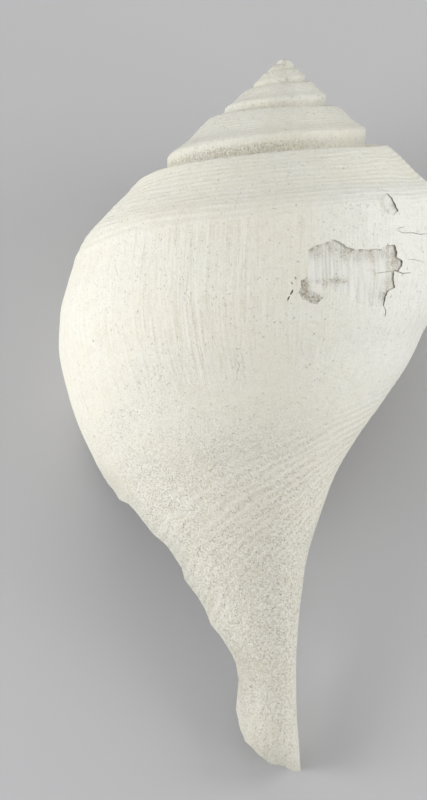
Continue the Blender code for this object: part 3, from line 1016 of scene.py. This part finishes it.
def chalky_shell_material(place):
    material = bpy.data.materials.new("chalky_shell_fine")
    n = Nodes(material)
    mm = n.scaled(n.add("ShaderNodeTexCoord").outputs["Object"], (MM_PER_METRE,) * 3)
    downward = place.to_3x3() @ Vector((0, -1, 0))
    apex_depth = downward.dot(place.translation) * MM_PER_METRE
    below = n.add("ShaderNodeVectorMath", mm, tuple(downward), operation="DOT_PRODUCT").outputs["Value"]
    depth = n.less(below, apex_depth)
    spiral = n.uv("spiral")
    turn, run = n.parted(spiral)
    fresh, inside = n.parted(n.uv("wear"))
    count, strength = n.parted(n.uv("marks"))
    near_edge, _ = n.parted(n.uv("edge"))
    whole = n.times(n.less(1, fresh), n.less(1, inside))
    rim = n.times(near_edge, whole)
    threads = n.times(strength, whole)
    grime_and_shade = n.times(strength, fresh)

    # How sandy the surface is: a little on the back, much towards the canal and under the old keel
    keel_run, crest_run, body_run = (float(run_at(row)) for row in (KEEL_ROW, CREST_ROW, BODY_ROW))
    uneven = n.noise(mm, 0.12, 3)
    streaky = n.add("ShaderNodeCombineXYZ", n.times(turn, 3.0), count, 0).outputs[0]
    streaks = n.noise(streaky, 0.6, 3)
    wandering = n.plus(depth, n.times(n.less(uneven, 0.5), SANDY_WANDER))
    low_down = n.ramp(wandering, *SANDY_DEPTHS)
    canal_side = n.times(n.ramp(turn, 0.3, 0.05, 0, CLEAN_SIDE), n.ramp(depth, 62, 72))
    low_down = n.times(low_down, n.less(1, canal_side))
    low_down = n.times(low_down, n.ramp(depth, *TIP_DEPTHS, *TIP_SANDINESS))
    under_keel = n.times(n.ramp(run, keel_run + 0.6, keel_run + 2.2), n.ramp(turn, -0.75, -0.85))
    under_keel = n.times(under_keel, n.ramp(turn, -1.8, -1.3, 0.2, 0.8))
    patchy = n.times(low_down, n.ramp(streaks, 0.35, 0.65, 0.7, 1.1))
    sandy = n.times(n.most(patchy, under_keel), whole)
    sandy = n.times(sandy, n.less(1, n.times(rim, 0.4)))

    # Crests of the threads, which are less sandy and carry a painted highlight, and the grooves between them
    wave = n.math("ABSOLUTE", n.math("SINE", n.times(count, math.pi)))
    crest = n.times(n.ramp(wave, 0.6, 1.0), threads)
    groove = n.times(n.ramp(wave, 0.7, 0.0), threads)
    sandy = n.times(sandy, n.less(1, n.times(crest, 0.5)))

    # Noise, and pits of three sizes
    bent = n.add("ShaderNodeVectorMath", mm, n.noise(mm, 1.6, output=1), operation="ADD").outputs[0]
    grain = n.noise(mm, 3.4, 2, 0.7)
    fine_grain = n.noise(mm, 6.0, 2, 0.6)
    mottle = n.noise(mm, 0.9, 3, 0.6)
    growth = n.noise(n.scaled(spiral, (175, 0.09, 0)), 1.0, 3, 0.65)
    growth_coarse = n.noise(n.scaled(spiral, (30, 0.07, 0)), 1.0, 3, 0.6)
    thread_grain = n.noise(n.scaled(spiral, (3, 2.6, 0)), 1.0, 3, 0.6)

    pits = n.times(n.spots(bent, 0.6, 0.085, n.ramp(sandy, 0, 1, 0.12, 0.3)), 0.8)
    small_pits = n.times(n.spots(bent, 2.0, 0.22, n.ramp(uneven, 0.35, 0.65, 0.3, 0.8)), 0.55)
    sandy_pits = n.times(n.spots(bent, 3.0, 0.33, 0.9), n.ramp(sandy, 0.0, 0.9, 0, 0.62))
    all_pits = n.most(n.most(pits, small_pits), sandy_pits)
    all_pits = n.times(all_pits, n.ramp(inside, 0, 1, 1, 0.15))

    # Growth lines are clear only below the crest, and fade towards the canal
    off_clearest = n.math("ABSOLUTE", n.less(turn, CLEAREST_GROWTH))
    below_crest = n.times(n.ramp(run, crest_run - 0.5, crest_run + 1.5, 0.25, 1.0), whole)
    below_crest = n.times(below_crest, n.ramp(run, body_run - 2, body_run + 5, 1.0, 0.0))
    below_crest = n.times(below_crest, n.ramp(off_clearest, 0.04, 0.16, 1.25, 0.6))

    # Colour
    colour = n.mix(n.ramp(uneven, 0.35, 0.7), CREAM, PALE)
    bleached = n.times(n.ramp(turn, 0.55, 0.25, 0, 0.8), n.ramp(run, crest_run - 6, crest_run - 2))
    bleached = n.times(bleached, n.ramp(depth, 38, 56, 1.0, 0.1))
    bleached = n.times(bleached, n.ramp(turn, -0.3, 0.0))
    colour = n.mix(bleached, colour, BLEACHED)
    colour = n.mix(n.ramp(depth, 80, 98, 0.0, LOW_SAND), colour, SAND)
    colour = n.mix(n.ramp(mottle, 0.4, 0.7, 0.0, MOTTLE_SAND), colour, SAND)
    clusters = n.ramp(growth_coarse, 0.36, 0.64, 0.15, 0.42)
    dashes = n.ramp(grain, 0.35, 0.6, 0.35, 1.25)
    lines = n.times(n.ramp(growth, 0.48, 0.64), clusters, dashes)
    colour = n.mix(n.times(lines, below_crest), colour, SAND)
    pale_lines = n.times(n.ramp(growth, 0.46, 0.36), clusters)
    colour = n.mix(n.times(pale_lines, below_crest, PALE_LINE_CHALK), colour, CHALK)
    colour = n.mix(n.times(groove, dashes, GROOVE_SAND), colour, SAND)
    # Painted highlight on the thread crests
    colour = n.mix(n.times(crest, CREST_HIGHLIGHT), colour, CHALK)
    sand_share = n.times(n.ramp(grain, 0.44, 0.58), n.ramp(sandy, 0, 1, *SANDY_SAND))
    colour = n.mix(sand_share, colour, SAND)
    chalk_share = n.times(n.ramp(grain, 0.44, 0.34), n.ramp(sandy, 0, 1, *SANDY_CHALK))
    colour = n.mix(chalk_share, colour, CHALK)
    stained = n.times(n.ramp(grain, 0.42, 0.62, 0.3, 0.9), n.ramp(under_keel, 0, 0.8, 0.0, KEEL_STAIN))
    colour = n.mix(n.times(stained, whole), colour, STAIN)
    # Broken surfaces: fibres, then grime with painted shade along the walls and edges of flakes, chips and
    # cracks
    fibres = n.times(n.ramp(growth, 0.45, 0.62, 0.0, 0.5), dashes)
    broken = n.mix(fibres, FRESH, SAND)
    broken = n.mix(n.times(grime_and_shade, n.ramp(grain, 0.40, 0.54, 0.35, 1.0)), broken, GRIME_AND_SHADE)
    colour = n.mix(fresh, colour, broken)
    colour = n.mix(n.times(all_pits, PIT_SHARE), colour, PIT)

    # The old whorls are a little greyer and their sides are darkened with painted shade; the canal and the
    # broken edge are a little greyer
    sideways = n.math("ABSOLUTE", n.math("COSINE", n.times(turn, math.pi)))
    old_side_shade = n.times(n.ramp(sideways, 0.3, 1.0, *OLD_GREY_AND_SIDE_SHADE), n.ramp(turn, -0.7, -0.85))
    dull = n.plus(old_side_shade, n.ramp(depth, 46, 84, 0.0, LOW_GREY), n.times(rim, RIM_GREY))
    colour = n.mix(dull, colour, (0, 0, 0, 1))
    n.link(colour, n.shader.inputs["Base Color"])

    # Finish
    n.link(n.ramp(grain, 0.2, 0.8, *ROUGHNESS), n.shader.inputs["Roughness"])
    n.shader.inputs["Specular IOR Level"].default_value = SPECULAR

    # Relief, in millimetres
    height = n.times(n.less(growth, 0.5), LINE_HEIGHT)
    height = n.plus(height, n.times(growth_coarse, BAND_HEIGHT), n.times(thread_grain, THREAD_GRAIN_HEIGHT))
    height = n.plus(n.times(height, below_crest), n.times(crest, CREST_GRAIN_HEIGHT))
    height = n.plus(height, n.times(grain, n.ramp(sandy, 0, 1, *GRAIN_HEIGHTS)))
    height = n.plus(height, n.times(mottle, MOTTLE_HEIGHT), n.times(fine_grain, FINE_GRAIN_HEIGHT))
    height = n.less(height, n.times(all_pits, PIT_DEPTH))
    bump = n.add("ShaderNodeBump")
    bump.inputs["Strength"].default_value = 1.0
    bump.inputs["Distance"].default_value = MM
    n.link(height, bump.inputs["Height"])
    n.link(bump.outputs[0], n.shader.inputs["Normal"])
    return material


# The floor and the lights: each light's name, place, size and power
FLOOR_SIZE = 3.0
PAPER = (0.52, 0.52, 0.53, 1)
PAPER_ROUGHNESS = 0.95
LIGHT_TARGET = (0, 0, 0.02)
LIGHTS = [
    ("left_light", (-1.1, -0.1, 0.25), (0.4, 0.8), 8.2),
    ("low_left_light", (-1.1, -0.45, 0.45), (0.4, 0.8), 4.2),
    ("right_light", (0.95, 0.1, 0.35), (0.4, 0.8), 4.1),
    ("low_right_light", (1.0, -0.5, 0.35), (0.4, 0.8), 2.4),
    ("top_light", (0.0, 1.0, 0.6), (0.6, 0.6), 1.5),
]
SKY_STRENGTH = 0.52


def plain_material(name, colour, roughness):
    material = bpy.data.materials.new(name)
    n = Nodes(material)
    n.shader.inputs["Base Color"].default_value = colour
    n.shader.inputs["Roughness"].default_value = roughness
    return material


def add_floor():
    half = FLOOR_SIZE / 2
    corners = [(-half, -half, 0), (half, -half, 0), (half, half, 0), (-half, half, 0)]
    mesh = bpy.data.meshes.new("floor")
    mesh.from_pydata(corners, [], [(0, 1, 2, 3)])
    mesh.materials.append(plain_material("floor_paper", PAPER, PAPER_ROUGHNESS))
    add_object("floor", mesh)


def add_camera(place):
    """Puts the camera where the picture of the shell is framed as in the photograph."""
    across, down = PICTURE_MIDDLE * MM
    tip = Matrix.Rotation(-BACK_VIEW_TIP, 4, "X").inverted()
    back_view = tip @ Matrix.Translation((across, -down, CAMERA_DISTANCE))
    data = bpy.data.cameras.new("camera")
    data.sensor_fit = "AUTO"
    data.sensor_width = SENSOR
    tall = IMAGE_HEIGHT * MM_PER_PIXEL * MM
    data.lens = SENSOR * CAMERA_DISTANCE / tall
    data.clip_end = FARTHEST_SEEN
    camera = add_object("camera", data)
    camera.matrix_world = place @ back_view
    bpy.context.scene.camera = camera


def add_area_light(name, position, size, power):
    data = bpy.data.lights.new(name, "AREA")
    data.shape = "RECTANGLE"
    data.size, data.size_y = size
    data.energy = power
    light = add_object(name, data)
    light.location = position
    towards = Vector(LIGHT_TARGET) - Vector(position)
    light.rotation_euler = towards.to_track_quat("-Z", "Y").to_euler()


def add_lights():
    for light in LIGHTS:
        add_area_light(*light)
    world = bpy.data.worlds.new("studio")
    bpy.context.scene.world = world
    world.use_nodes = True
    background = world.node_tree.nodes["Background"]
    background.inputs["Color"].default_value = (1, 1, 1, 1)
    background.inputs["Strength"].default_value = SKY_STRENGTH


# Plain colours, so that the pale shell keeps its warm tint
bpy.context.scene.view_settings.view_transform = "Standard"

shell, shell_place = build_shell()
shell.data.materials.clear()
shell.data.materials.append(chalky_shell_material(shell_place))
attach(shell, "root")
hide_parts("shell")
add_floor()
add_camera(shell_place)
add_lights()
